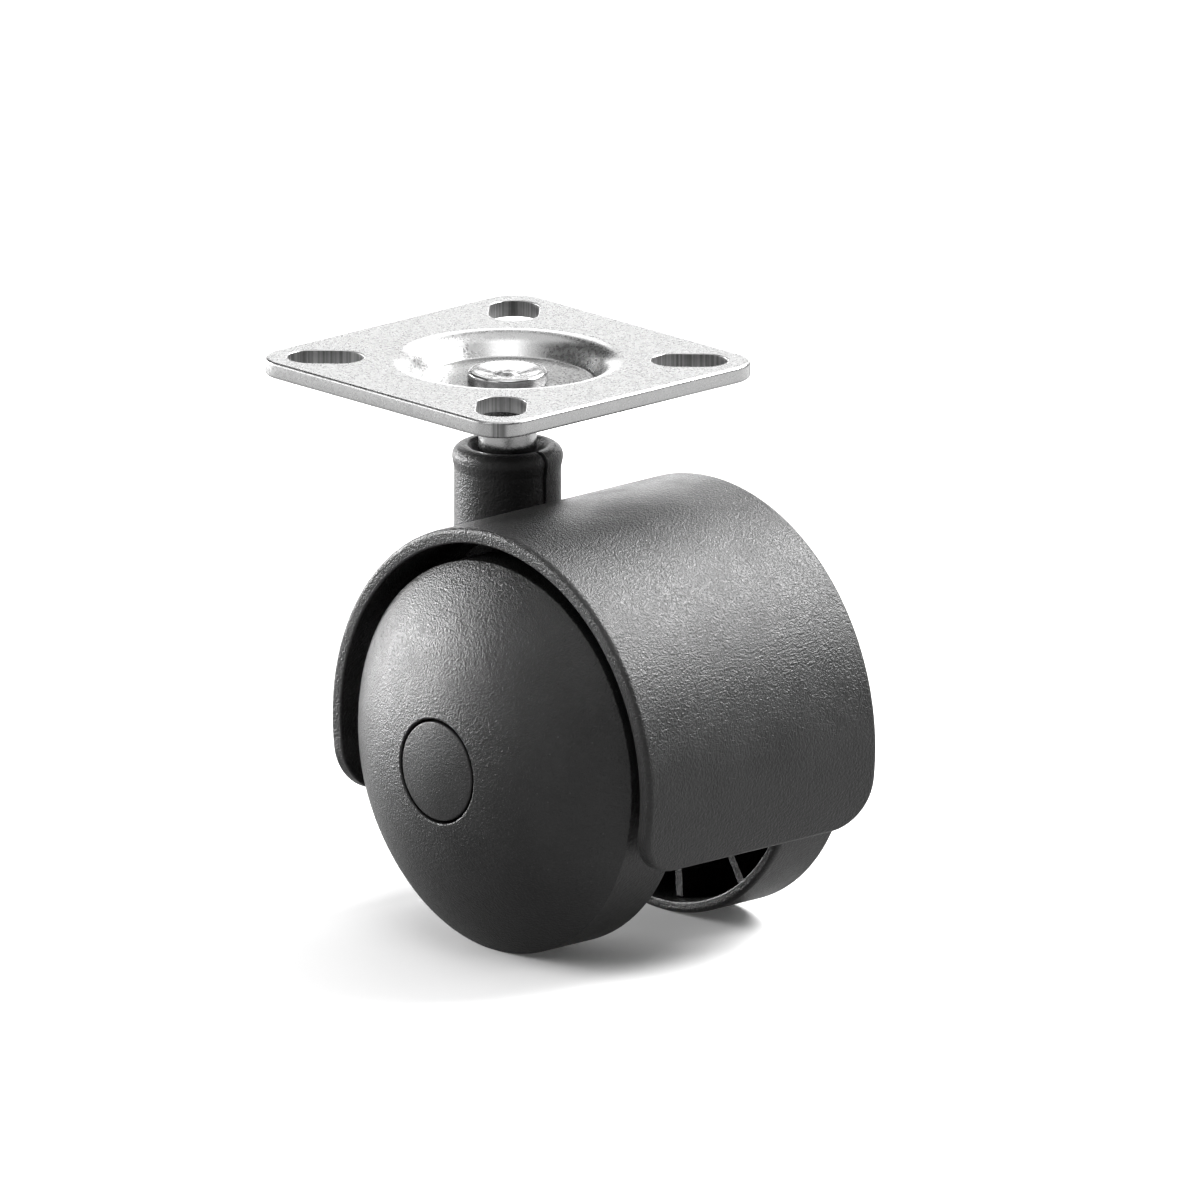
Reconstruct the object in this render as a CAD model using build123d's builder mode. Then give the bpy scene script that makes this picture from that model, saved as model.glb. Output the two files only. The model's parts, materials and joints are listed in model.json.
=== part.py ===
from build123d import *
from math import radians, sqrt, tan
import os

# Plate caster: twin wheels under a moulded hood, which swivels on a steel stem riveted into a pressed top plate.
# Millimetres. The origin is on the swivel axis, in the plane of the plate's upper face. +Z is up, +Y lies along
# the axle towards the left wheel, and +X points from the swivel axis to the axle.

# Top plate: a square pressing with a round dish for the rivet head and a slot on each diagonal.
plate_side = 38.0
plate_thickness = 1.8
plate_corner_radius = 3.8
plate_edge_radius = 0.35
dish_rim_land = 0.45
slot_width = 5.2
slot_length = 8.0
slot_pitch = 26.8
dish_depth = 2.4
dish_floor_radius = 9.1
dish_wall_angle = 52.0
dish_rim_bend = 2.8
dish_floor_bend = 0.5

# Swivel stem: spun rivet head, tenon, flange, shank with a ring groove.
stem_diameter = 6.1
stem_length = 26.6
tip_chamfer = 0.8
tenon_diameter = 5.2
head_diameter = 8.4
head_height = 1.2
head_edge_radius = 0.4
head_ring_width = 1.3
head_valley_depth = 0.45
head_nub_drop = 0.15
head_nub_rise = 0.05
flange_diameter = 10.0
flange_thickness = 1.3
flange_edge_radius = 0.3
groove_depth = 0.6
groove_width = 1.4
groove_from_tip = 6.4

# Small steel pieces in the socket.
grip_ring_width = 1.2
grip_ring_wall = 0.8
grip_ring_gap = 1.4
thrust_disc_thickness = 1.0
thrust_disc_chamfer = 0.2

# Wheels: a plain tread and a domed outer face, open on the inside.
wheel_diameter = 41.7
tread_width = 7.5
dome_height = 8.9
rim_wall = 1.2
dome_wall = 1.6
tread_edge_radius = 0.5
dome_edge_radius = 0.25
hub_wall = 2.4
hub_rim_step = 0.3
rib_count = 12
rib_thickness = 1.0
rib_phase = 27.0
rib_recess = 1.8
cap_diameter = 10.9
cap_pocket_depth = 3.4
cap_pocket_wall = 1.5
cap_thickness = 1.1
cap_skirt_wall = 0.8
cap_skirt_length = 1.3
cap_edge = 0.3

# Axle, with a washer inside and a push-on retainer outside each hub.
axle_diameter = 4.0
axle_end_chamfer = 0.4
axle_stand_out = 1.5
washer_diameter = 8.4
washer_thickness = 0.5
retainer_diameter = 9.0
retainer_thickness = 0.4
retainer_cone_height = 0.45
retainer_tooth_length = 1.1
retainer_teeth = 6
retainer_slit = 0.5

# Housing: hood, socket, web, cross ribs and axle boss in one moulding.
trail = 14.7
hood_drop = 12.8
hood_gap = 1.9
hood_wall = 1.65
hood_overhang = 0.75
hood_rim_radius = 0.6
hood_inner_edge_radius = 0.25
skirt_drop = 8.5
skirt_corner_radius = 5.0
socket_diameter = 11.2
socket_top_drop = 9.2
socket_flare = 0.2
socket_lip_height = 2.4
socket_lip_radius = 1.2
socket_floor = 1.6
mouth_diameter = 8.6
mouth_depth = 1.2
seam_width = 0.35
seam_depth = 0.3
web_thickness = 2.4
web_front_rise = 2.0
cross_rib_thickness = 1.3
cross_rib_depth = 7.0
cross_rib_angles = (22.0, 52.0, 82.0)
boss_diameter = 9.5
boss_end_chamfer = 0.2
wheel_side_gap = 2.4

# Fits.
running_clearance = 0.05
press_clearance = 0.02
end_float = 0.1
cap_clearance = 0.1

# Levels on the swivel axis, from the plate downwards.
dish_floor_z = -dish_depth
dish_under_z = dish_floor_z - plate_thickness
flange_under_z = dish_under_z - flange_thickness
stem_tip_z = dish_under_z - stem_length
groove_z = stem_tip_z + groove_from_tip
disc_top_z = stem_tip_z - end_float
bore_floor_z = disc_top_z - thrust_disc_thickness
socket_top_z = -socket_top_drop
socket_floor_z = bore_floor_z - socket_floor

# Radii on the swivel axis.
stem_radius = stem_diameter / 2
socket_radius = socket_diameter / 2
bore_radius = stem_radius + running_clearance
groove_radius = stem_radius - groove_depth
ring_inner_radius = groove_radius + running_clearance
ring_outer_radius = ring_inner_radius + grip_ring_wall
recess_radius = ring_outer_radius + running_clearance
recess_width = grip_ring_width + 2 * end_float

# Wheel and hood radii, and distances from the middle plane along the axle.
wheel_radius = wheel_diameter / 2
dome_radius = (wheel_radius**2 + dome_height**2) / (2 * dome_height)
hood_inner_radius = wheel_radius + hood_gap
hood_outer_radius = hood_inner_radius + hood_wall
hood_middle_radius = hood_inner_radius + hood_wall / 2
axle_z = -hood_drop - hood_outer_radius
rim_y = socket_radius + wheel_side_gap
dome_edge_y = rim_y + tread_width
dome_centre_y = dome_edge_y + dome_height - dome_radius
hood_half_width = dome_edge_y + hood_overhang
hub_y = rim_y + hub_rim_step
washer_y = hub_y - end_float - washer_thickness
boss_half_length = washer_y
axle_radius = axle_diameter / 2
hub_bore_radius = axle_radius + running_clearance
hub_radius = hub_bore_radius + hub_wall
cap_radius = cap_diameter / 2
pocket_radius = cap_radius + cap_clearance
pocket_outer_radius = pocket_radius + cap_pocket_wall


def dome_y(radius, inset=0.0):
    """Distance from the middle plane to the dome's sphere, inset inwards, at this radius from the axle."""
    return dome_centre_y + sqrt((dome_radius - inset) ** 2 - radius**2)


def dome_arc(radius_a, radius_b, inset=0.0):
    """The dome's outline between two radii, in a plane through the axle."""
    radii = (radius_a, (radius_a + radius_b) / 2, radius_b)
    return ThreePointArc(*[(radius, dome_y(radius, inset)) for radius in radii])


pocket_floor_y = dome_y(pocket_radius) - cap_pocket_depth
retainer_y = pocket_floor_y + end_float
axle_half_length = pocket_floor_y + axle_stand_out

axle_centre = (trail, 0, axle_z)
axle_axis = Axis(axle_centre, (0, 1, 0))
# Seen along the axle: local x forwards and local y up.
axle_side = Plane(axle_centre, x_dir=(1, 0, 0), z_dir=(0, -1, 0))


def axle_section(side):
    """A plane through the axle: local x runs outwards from it, local y along it to the left (1) or right (-1)."""
    return Plane(axle_centre, x_dir=(1, 0, 0), z_dir=(0, 0, side))


def axle_face(side, distance):
    """A plane across the axle, this far from the middle plane: local x down, local z outwards."""
    return Plane((trail, side * distance, axle_z), x_dir=(0, 0, -1), z_dir=(0, side, 0))


os.makedirs("parts", exist_ok=True)

# Top plate. The dish is one bent section of sheet, turned about the swivel axis.
dish_rim_radius = dish_floor_radius + dish_depth / tan(radians(dish_wall_angle))
dish_rim_tangent = dish_rim_bend * tan(radians(dish_wall_angle / 2))
dish_outer_radius = dish_rim_radius + dish_rim_tangent + dish_rim_land
tenon_hole_radius = tenon_diameter / 2 + press_clearance

with BuildPart() as top_plate:
    with BuildSketch():
        RectangleRounded(plate_side, plate_side, plate_corner_radius)
    extrude(amount=-plate_thickness)
    fillet(top_plate.faces().filter_by(Axis.Z).edges(), plate_edge_radius)
    with BuildSketch():
        Circle(dish_outer_radius)
        with PolarLocations(slot_pitch / sqrt(2), 4, start_angle=45):
            SlotOverall(slot_length, slot_width)
    extrude(amount=-plate_thickness, mode=Mode.SUBTRACT)
    with BuildSketch(Plane.XZ):
        with BuildLine():
            FilletPolyline(
                (tenon_hole_radius, dish_floor_z),
                (dish_floor_radius, dish_floor_z),
                (dish_rim_radius, 0),
                (dish_outer_radius, 0),
                radius=[dish_floor_bend, dish_rim_bend],
            )
            offset(amount=plate_thickness, side=Side.RIGHT)
        make_face()
    revolve(axis=Axis.Z)

# Swivel stem. The head is spun over the plate: a rounded ring round a valley and a low nub.
head_top_z = dish_floor_z + head_height
head_radius = head_diameter / 2
valley_radius = (head_radius - head_ring_width) / 2
with BuildPart() as swivel_stem:
    with BuildSketch(Plane.XZ):
        with BuildLine():
            ThreePointArc(
                (0, head_top_z - head_nub_drop),
                (valley_radius / 2, head_top_z - (head_nub_drop + head_valley_depth) / 2 + head_nub_rise),
                (valley_radius, head_top_z - head_valley_depth),
            )
            Polyline(
                (valley_radius, head_top_z - head_valley_depth),
                (head_radius - head_ring_width, head_top_z),
                (head_radius, head_top_z),
                (head_radius, dish_floor_z),
                (tenon_diameter / 2, dish_floor_z),
                (tenon_diameter / 2, dish_under_z),
                (flange_diameter / 2, dish_under_z),
                (flange_diameter / 2, flange_under_z),
                (stem_radius, flange_under_z),
                (stem_radius, groove_z + groove_width / 2),
                (groove_radius, groove_z + groove_width / 2),
                (groove_radius, groove_z - groove_width / 2),
                (stem_radius, groove_z - groove_width / 2),
                (stem_radius, stem_tip_z + tip_chamfer),
                (stem_radius - tip_chamfer, stem_tip_z),
                (0, stem_tip_z),
                (0, head_top_z - head_nub_drop),
            )
        make_face()
    revolve(axis=Axis.Z)
    head_edges = swivel_stem.edges().filter_by_position(Axis.Z, head_top_z, head_top_z)
    fillet(head_edges, head_edge_radius)
    flange_edges = swivel_stem.edges().filter_by(GeomType.CIRCLE).sort_by(SortBy.RADIUS)[-2:]
    fillet(flange_edges, flange_edge_radius)

# Grip ring: split, half in the stem's groove and half in the socket's recess.
with BuildPart() as grip_ring:
    with BuildSketch(Plane.XY.offset(groove_z - grip_ring_width / 2)):
        Circle(ring_outer_radius)
        Circle(ring_inner_radius, mode=Mode.SUBTRACT)
        with Locations((-ring_outer_radius, 0)):
            Rectangle(2 * ring_outer_radius, grip_ring_gap, mode=Mode.SUBTRACT)
    extrude(amount=grip_ring_width)

# Thrust disc, on the floor of the socket's bore.
with BuildPart() as thrust_disc:
    with BuildSketch(Plane.XY.offset(bore_floor_z)):
        Circle(bore_radius - running_clearance)
    extrude(amount=thrust_disc_thickness)
    chamfer(thrust_disc.edges().sort_by(Axis.Z)[-1], thrust_disc_chamfer)

# Housing. The hood is a ring turned about the axle and trimmed to the skirt's outline as seen from the front.
lip_radius = socket_radius + socket_flare
seam_reach = lip_radius + seam_depth
seam_foot_z = axle_z + sqrt(hood_outer_radius**2 - (trail - seam_reach - seam_depth) ** 2)
with BuildPart() as housing:
    with BuildSketch(axle_section(1)):
        with Locations((hood_middle_radius, 0)):
            Rectangle(hood_wall, 2 * hood_half_width)
        fillet(vertices().sort_by(Axis.X)[-2:], hood_rim_radius)
        fillet(vertices().sort_by(Axis.X)[:2], hood_inner_edge_radius)
    revolve(axis=axle_axis)
    with BuildSketch(Plane.YZ.offset(trail)):
        with Locations((0, axle_z - skirt_drop)):
            Rectangle(
                2 * hood_half_width,
                skirt_drop + hood_outer_radius,
                align=(Align.CENTER, Align.MIN),
            )
        fillet(vertices().group_by(Axis.Y)[0], skirt_corner_radius)
    extrude(amount=hood_outer_radius, both=True, mode=Mode.INTERSECT)

    # Web in the middle plane, from the hood's crown down to the socket's floor and round the axle boss.
    socket_floor_rise = socket_floor_z - axle_z
    boss_radius = boss_diameter / 2
    with BuildSketch(axle_side):
        Circle(hood_middle_radius)
        with BuildLine():
            Polyline(
                (-hood_outer_radius, socket_floor_rise),
                (socket_radius - trail, socket_floor_rise),
                (-boss_radius, 0),
                (0, -boss_radius),
                (boss_radius, 0),
                (hood_outer_radius, web_front_rise),
                (hood_outer_radius, hood_outer_radius),
                (-hood_outer_radius, hood_outer_radius),
                close=True,
            )
        make_face(mode=Mode.INTERSECT)
    extrude(amount=web_thickness / 2, both=True)

    # Cross ribs under the hood, between the wheels.
    with BuildSketch(axle_side):
        for angle in cross_rib_angles:
            with PolarLocations(hood_middle_radius - cross_rib_depth / 2, 1, start_angle=angle):
                Rectangle(cross_rib_depth, cross_rib_thickness)
    extrude(amount=rim_y - wheel_side_gap / 2, both=True)

    # Axle boss, chamfered at both ends.
    with BuildSketch(axle_section(1)):
        with Locations((boss_radius / 2, 0)):
            Rectangle(boss_radius, 2 * boss_half_length)
        chamfer(vertices().sort_by(Axis.X)[-2:], boss_end_chamfer)
    revolve(axis=axle_axis)

    # Stem socket, with a rounded lip.
    with BuildSketch(Plane.XZ):
        with BuildLine():
            Polyline(
                (0, socket_floor_z),
                (socket_radius, socket_floor_z),
                (socket_radius, socket_top_z - socket_lip_height),
                (lip_radius, socket_top_z - socket_lip_radius - socket_flare),
                (lip_radius, socket_top_z),
                (0, socket_top_z),
                close=True,
            )
        make_face()
        fillet(vertices().group_by(Axis.Y)[-1].sort_by(Axis.X)[-1], socket_lip_radius)
    revolve(axis=Axis.Z)
    with BuildSketch(Plane.XZ):
        with BuildLine():
            Polyline(
                (0, socket_top_z),
                (mouth_diameter / 2, socket_top_z),
                (bore_radius, socket_top_z - mouth_depth),
                (bore_radius, groove_z + recess_width / 2),
                (recess_radius, groove_z + recess_width / 2),
                (recess_radius, groove_z - recess_width / 2),
                (bore_radius, groove_z - recess_width / 2),
                (bore_radius, bore_floor_z),
                (0, bore_floor_z),
                close=True,
            )
        make_face()
    revolve(axis=Axis.Z, mode=Mode.SUBTRACT)

    # Mould seam down the front of the socket, and the axle's bore.
    with BuildSketch(Plane.XY.offset(seam_foot_z)):
        with Locations((socket_radius - seam_depth, 0)):
            Rectangle(
                seam_reach - socket_radius + seam_depth, seam_width, align=(Align.MIN, Align.CENTER)
            )
    extrude(amount=socket_top_z - seam_foot_z, mode=Mode.SUBTRACT)
    with BuildSketch(axle_side):
        Circle(axle_radius + press_clearance)
    extrude(amount=hood_half_width, both=True, mode=Mode.SUBTRACT)

# Axle.
with BuildPart() as axle:
    with BuildSketch(axle_side):
        Circle(axle_radius)
    extrude(amount=axle_half_length, both=True)
    chamfer(axle.edges().filter_by(GeomType.CIRCLE), axle_end_chamfer)


def make_wheel(side):
    """One moulding: tread, dome, hub with the cap's pocket, and thin radial ribs trimmed under the dome."""
    inner_radius = wheel_radius - rim_wall
    with BuildPart() as wheel:
        with BuildSketch(axle_face(side, rim_y + rib_recess)):
            with PolarLocations(inner_radius / 2, rib_count, start_angle=rib_phase):
                Rectangle(inner_radius + rim_wall, rib_thickness)
        extrude(amount=tread_width + dome_height)
        with BuildSketch(axle_section(side)):
            with BuildLine():
                dome_arc(0, inner_radius, inset=dome_wall / 2)
                Polyline(
                    (inner_radius, dome_y(inner_radius, dome_wall / 2)),
                    (inner_radius + rim_wall / 2, dome_y(inner_radius, dome_wall / 2)),
                    (inner_radius + rim_wall / 2, rim_y),
                    (0, rim_y),
                    (0, dome_y(0, dome_wall / 2)),
                )
            make_face()
        revolve(axis=axle_axis, mode=Mode.INTERSECT)
        with BuildSketch(axle_section(side)):
            with BuildLine():
                dome_arc(wheel_radius, pocket_radius + cap_edge)
                Polyline(
                    (pocket_radius + cap_edge, dome_y(pocket_radius + cap_edge)),
                    (pocket_radius, dome_y(pocket_radius) - cap_edge),
                    (pocket_radius, pocket_floor_y),
                    (hub_bore_radius, pocket_floor_y),
                    (hub_bore_radius, hub_y),
                    (hub_radius, hub_y),
                    (hub_radius, pocket_floor_y - (pocket_outer_radius - hub_radius) - dome_wall),
                    (pocket_outer_radius, pocket_floor_y - dome_wall),
                    (pocket_outer_radius, dome_y(pocket_outer_radius, dome_wall)),
                )
                dome_arc(pocket_outer_radius, inner_radius, inset=dome_wall)
                Polyline(
                    (inner_radius, dome_y(inner_radius, dome_wall)),
                    (inner_radius, rim_y),
                    (wheel_radius, rim_y),
                    (wheel_radius, dome_edge_y),
                )
            make_face()
            tread_corners = vertices().sort_by(Axis.X)[-2:].sort_by(Axis.Y)
            fillet(tread_corners[0], tread_edge_radius)
            fillet(tread_corners[1], dome_edge_radius)
        revolve(axis=axle_axis)
        with BuildSketch(axle_face(side, rim_y)):
            Circle(hub_bore_radius)
        extrude(amount=pocket_floor_y - rim_y, mode=Mode.SUBTRACT)
        with BuildSketch(axle_face(side, pocket_floor_y)):
            Circle(pocket_radius)
        extrude(amount=cap_pocket_depth, mode=Mode.SUBTRACT)
    return wheel


def make_hub_cap(side):
    """Round cap flush with the dome, with a short skirt that presses into the wheel's pocket."""
    under_y = dome_y(cap_radius) - cap_edge - cap_thickness
    top_inset = cap_clearance
    with BuildPart() as cap:
        with BuildSketch(axle_section(side)):
            with BuildLine():
                dome_arc(0, cap_radius - cap_edge, inset=top_inset)
                Polyline(
                    (cap_radius - cap_edge, dome_y(cap_radius - cap_edge, top_inset)),
                    (cap_radius, dome_y(cap_radius, top_inset) - cap_edge),
                    (cap_radius, under_y - cap_skirt_length),
                    (cap_radius - cap_skirt_wall, under_y - cap_skirt_length),
                    (cap_radius - cap_skirt_wall, under_y),
                    (0, under_y),
                    (0, dome_y(0, top_inset)),
                )
            make_face()
        revolve(axis=axle_axis)
    return cap


def make_washer(side):
    """Plain washer between the boss and the hub."""
    with BuildPart() as washer:
        with BuildSketch(axle_face(side, washer_y)):
            Circle(washer_diameter / 2)
            Circle(axle_radius + running_clearance, mode=Mode.SUBTRACT)
        extrude(amount=washer_thickness)
    return washer


def make_retainer(side):
    """Push-on retainer: a flat rim, and teeth that lean outwards and bite on the axle."""
    inner_radius = axle_radius + press_clearance
    tooth_root = inner_radius + retainer_tooth_length
    with BuildPart() as retainer:
        with BuildSketch(axle_section(side)):
            with BuildLine():
                Polyline(
                    (inner_radius, retainer_y + retainer_cone_height),
                    (tooth_root, retainer_y),
                    (retainer_diameter / 2, retainer_y),
                    (retainer_diameter / 2, retainer_y + retainer_thickness),
                    (tooth_root, retainer_y + retainer_thickness),
                    (inner_radius, retainer_y + retainer_cone_height + retainer_thickness),
                    close=True,
                )
            make_face()
        revolve(axis=axle_axis)
        with BuildSketch(axle_face(side, retainer_y)):
            with PolarLocations(tooth_root / 2, retainer_teeth):
                Rectangle(tooth_root, retainer_slit)
        extrude(amount=retainer_cone_height + retainer_thickness, mode=Mode.SUBTRACT)
    return retainer


top_plate.part.label = "top_plate"
export_step(top_plate.part, "parts/top_plate.step")
swivel_stem.part.label = "swivel_stem"
export_step(swivel_stem.part, "parts/swivel_stem.step")
grip_ring.part.label = "grip_ring"
export_step(grip_ring.part, "parts/grip_ring.step")
thrust_disc.part.label = "thrust_disc"
export_step(thrust_disc.part, "parts/thrust_disc.step")
housing.part.label = "housing"
export_step(housing.part, "parts/housing.step")
axle.part.label = "axle"
export_step(axle.part, "parts/axle.step")

makers = {"wheel": make_wheel, "hub_cap": make_hub_cap, "washer": make_washer, "retainer": make_retainer}
for side, hand in ((1, "left"), (-1, "right")):
    for kind, make in makers.items():
        piece = make(side)
        piece.part.label = f"{kind}_{hand}"
        export_step(piece.part, f"parts/{kind}_{hand}.step")
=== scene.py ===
import json
from math import atan2, copysign, cos, pi, radians, sin, sqrt, tan

import bmesh
import bpy
import numpy as np
from bpy.props import FloatProperty, FloatVectorProperty, IntProperty, PointerProperty
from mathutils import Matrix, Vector


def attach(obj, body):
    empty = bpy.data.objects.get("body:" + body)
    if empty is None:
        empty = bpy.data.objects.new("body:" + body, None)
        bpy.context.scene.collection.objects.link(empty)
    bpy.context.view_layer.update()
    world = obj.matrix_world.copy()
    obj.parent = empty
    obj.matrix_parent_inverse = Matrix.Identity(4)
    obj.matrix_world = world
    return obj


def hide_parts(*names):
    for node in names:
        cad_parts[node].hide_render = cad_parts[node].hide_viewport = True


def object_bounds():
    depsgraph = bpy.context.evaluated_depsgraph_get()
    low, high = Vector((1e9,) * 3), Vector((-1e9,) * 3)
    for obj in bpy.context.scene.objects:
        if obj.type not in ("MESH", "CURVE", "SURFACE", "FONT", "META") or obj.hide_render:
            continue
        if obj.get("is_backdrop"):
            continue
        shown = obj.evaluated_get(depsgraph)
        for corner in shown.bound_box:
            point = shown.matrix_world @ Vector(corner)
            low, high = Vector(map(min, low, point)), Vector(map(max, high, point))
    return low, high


bl_info = {
    "name": "Plate Caster",
    "version": (1, 0, 0),
    "blender": (4, 5, 0),
    "location": "View3D > Sidebar > Caster",
    "description": "Dresses a twin-wheel plate caster: surfaces, finishes, light and camera",
    "category": "Object",
}

# Everything is in metres. The origin is on the swivel axis, in the plane of the plate's upper face. +Z is up,
# and +Y runs along the axle to the left wheel.
MM = 0.001
QUARTER = pi / 2
MERGE = 0.0002 * MM
NEARLY = 0.98  # The part of a run that an arc may take, so that the arcs at its two ends don't meet.

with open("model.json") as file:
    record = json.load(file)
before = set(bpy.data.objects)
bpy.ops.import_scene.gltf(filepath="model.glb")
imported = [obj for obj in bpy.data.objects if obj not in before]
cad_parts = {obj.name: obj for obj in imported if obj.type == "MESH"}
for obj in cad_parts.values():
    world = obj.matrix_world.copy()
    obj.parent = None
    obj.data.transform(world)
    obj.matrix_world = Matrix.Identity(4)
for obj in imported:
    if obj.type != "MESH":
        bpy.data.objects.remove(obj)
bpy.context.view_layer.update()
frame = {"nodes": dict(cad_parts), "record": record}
BODY = {node: body for body, nodes in frame["record"]["behaviour"]["bodies"].items() for node in nodes}
HANDS = {"left": 1, "right": -1}


def length(name, description, millimetres):
    """A length that the user can change, given in millimetres and held in metres."""
    return FloatProperty(
        name=name, description=description, default=millimetres * MM, min=0.0, unit="LENGTH", precision=5
    )


def angle(name, description, degrees):
    """An angle that the user can change, given in degrees and held in radians."""
    return FloatProperty(name=name, description=description, default=radians(degrees), subtype="ANGLE")


def share(name, description, value):
    """A plain number from 0 to 1 that the user can change."""
    return FloatProperty(
        name=name, description=description, default=value, min=0.0, max=1.0, subtype="FACTOR"
    )


def grey(name, description, value):
    """A neutral colour that the user can change."""
    return FloatVectorProperty(
        name=name, description=description, default=(value,) * 3, min=0.0, max=1.0, size=3, subtype="COLOR"
    )


class PlateSizes(bpy.types.PropertyGroup):
    side: length("Side", "Side of the square plate", 38.0)
    thickness: length("Thickness", "Sheet thickness", 1.8)
    corner: length("Corner radius", "Radius of the plate's four corners", 3.8)
    edge: length("Edge radius", "Rounding along the outer edges", 0.35)
    slot_width: length("Slot width", "Width of each screw slot", 5.2)
    slot_length: length("Slot length", "Overall length of each screw slot", 8.0)
    slot_pitch: length("Slot pitch", "Distance between slots along a side", 26.8)
    slot_edge: length("Slot edge", "Rounding along the punched edges", 0.16)
    dish_depth: length("Dish depth", "How far the dish is pressed down", 2.4)
    dish_floor: length("Dish floor radius", "Radius where the dish's floor meets its wall", 9.1)
    dish_slope: angle("Dish slope", "Angle of the dish's wall", 52.0)
    rim_bend: length("Rim bend", "Bend radius at the dish's rim", 2.8)
    floor_bend: length("Floor bend", "Bend radius at the dish's floor", 0.5)
    hole: length("Tenon hole", "Radius of the hole for the stem's tenon", 2.62)


class StemSizes(bpy.types.PropertyGroup):
    radius: length("Shank radius", "Radius of the plain shank", 3.05)
    length: length("Length", "From the plate's underside to the tip", 26.6)
    tip: length("Tip chamfer", "Chamfer at the lower end", 0.8)
    tenon: length("Tenon radius", "Radius through the plate", 2.6)
    head: length("Head radius", "Radius of the spun rivet head", 4.2)
    head_height: length("Head height", "Height over the dish's floor", 1.2)
    head_edge: length("Head edge", "Rounding of the head's rim", 0.4)
    ring: length("Ring width", "Width of the raised ring round the head", 1.3)
    valley: length("Valley depth", "Depth inside the ring", 0.45)
    nub: length("Nub drop", "How far the middle lies under the ring", 0.15)
    flange: length("Flange radius", "Radius of the flange under the plate", 5.0)
    flange_height: length("Flange height", "Thickness of the flange", 1.3)
    groove: length("Groove depth", "Depth of the grip ring's groove", 0.6)
    groove_width: length("Groove width", "Width of the grip ring's groove", 1.4)
    groove_rise: length("Groove rise", "From the tip to the groove's middle", 6.4)


class HousingSizes(bpy.types.PropertyGroup):
    trail: length("Trail", "From the swivel axis to the axle", 14.7)
    axle_drop: length("Axle drop", "From the plate's upper face to the axle", 37.2)
    inner: length("Hood inner radius", "Inside of the hood, round the axle", 22.75)
    wall: length("Hood wall", "Wall of the hood", 1.65)
    half_width: length("Half width", "From the middle plane to the hood's rim", 16.25)
    rim: length("Rim rounding", "Rounding of the rim's outer edge", 0.6)
    skirt: length("Skirt drop", "How far the hood reaches below the axle", 8.5)
    skirt_corner: length("Skirt corner", "Radius of the skirt's corners", 5.0)
    skirt_edge: length("Skirt edge", "Rounding of the skirt's lower edge", 0.3)
    inner_edge: length("Inner edge", "Rounding of the hood's inner edges", 0.25)
    socket: length("Socket radius", "Outside of the stem socket", 5.6)
    flare: length("Socket flare", "How much wider the socket's lip is", 0.2)
    socket_top: length("Socket top", "From the plate's upper face to the socket's lip", 9.2)
    lip_height: length("Lip height", "Height of the flared lip", 2.4)
    lip: length("Lip rounding", "Rounding of the lip", 1.2)
    mouth: length("Mouth radius", "Radius of the tapered mouth", 4.3)
    mouth_depth: length("Mouth depth", "Depth of the tapered mouth", 1.2)
    bore: length("Bore radius", "Radius of the stem's bore", 3.1)
    bore_floor: length("Bore floor", "From the plate's upper face to the bore's floor", 31.9)
    socket_floor: length("Socket floor", "From the plate's upper face to the socket's underside", 33.5)
    recess: length("Recess radius", "Radius of the grip ring's recess", 3.35)
    recess_width: length("Recess width", "Width of the grip ring's recess", 1.4)
    seam_width: length("Seam width", "Width of the mould seam on the socket", 0.46)
    seam_depth: length("Seam depth", "Depth of the mould seam on the socket", 0.3)
    web: length("Web", "Thickness of the middle web", 2.4)
    web_rise: length("Web rise", "Height of the web's front end over the axle", 2.0)
    rib: length("Rib", "Thickness of the cross ribs", 1.3)
    rib_depth: length("Rib depth", "How far the cross ribs reach in from the hood", 7.0)
    rib_reach: length("Rib reach", "Half length of the cross ribs along the axle", 6.8)
    boss: length("Boss radius", "Radius of the axle boss", 4.75)
    boss_reach: length("Boss reach", "Half length of the axle boss", 7.7)
    axle_bore: length("Axle bore", "Radius of the axle's bore", 2.02)


class WheelSizes(bpy.types.PropertyGroup):
    radius: length("Radius", "Radius of the tread", 20.85)
    rim: length("Rim", "From the middle plane to the wheel's open side", 8.0)
    tread: length("Tread", "Width of the plain tread", 7.5)
    dome: length("Dome height", "Height of the whole dome", 8.9)
    rim_wall: length("Rim wall", "Wall under the tread", 1.2)
    dome_wall: length("Dome wall", "Wall of the dome", 1.6)
    tread_edge: length("Tread edge", "Rounding of the open side's edge", 0.5)
    dome_edge: length("Dome edge", "Rounding between tread and dome", 0.25)
    hub: length("Hub radius", "Outside of the hub", 4.45)
    hub_step: length("Hub step", "How far the hub stands back from the open side", 0.3)
    bore: length("Bore", "Radius of the axle's bore", 2.05)
    rib: length("Rib", "Thickness of the ribs", 1.0)
    rib_recess: length("Rib recess", "How far the ribs stand back from the open side", 1.8)
    rib_phase: angle("Rib phase", "Turn of the first rib from straight down", 27.0)
    ribs: IntProperty(name="Ribs", description="Number of radial ribs", default=12, min=3)
    cap: length("Cap radius", "Radius of the hub cap", 5.28)
    cap_groove: length("Cap groove", "Width of the groove round the hub cap", 0.27)
    cap_inset: length("Cap inset", "How far the cap's face lies under the dome", 0.12)
    cap_edge: length("Cap edge", "Rounding on both sides of the cap's groove", 0.2)
    cap_wall: length("Cap wall", "Thickness of the hub cap", 1.1)
    cap_skirt: length("Cap skirt", "Length of the cap's skirt", 1.3)
    cap_skirt_wall: length("Cap skirt wall", "Wall of the cap's skirt", 0.8)
    pocket: length("Pocket depth", "Depth of the cap's pocket", 3.4)
    pocket_wall: length("Pocket wall", "Wall round the cap's pocket", 1.5)


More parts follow.
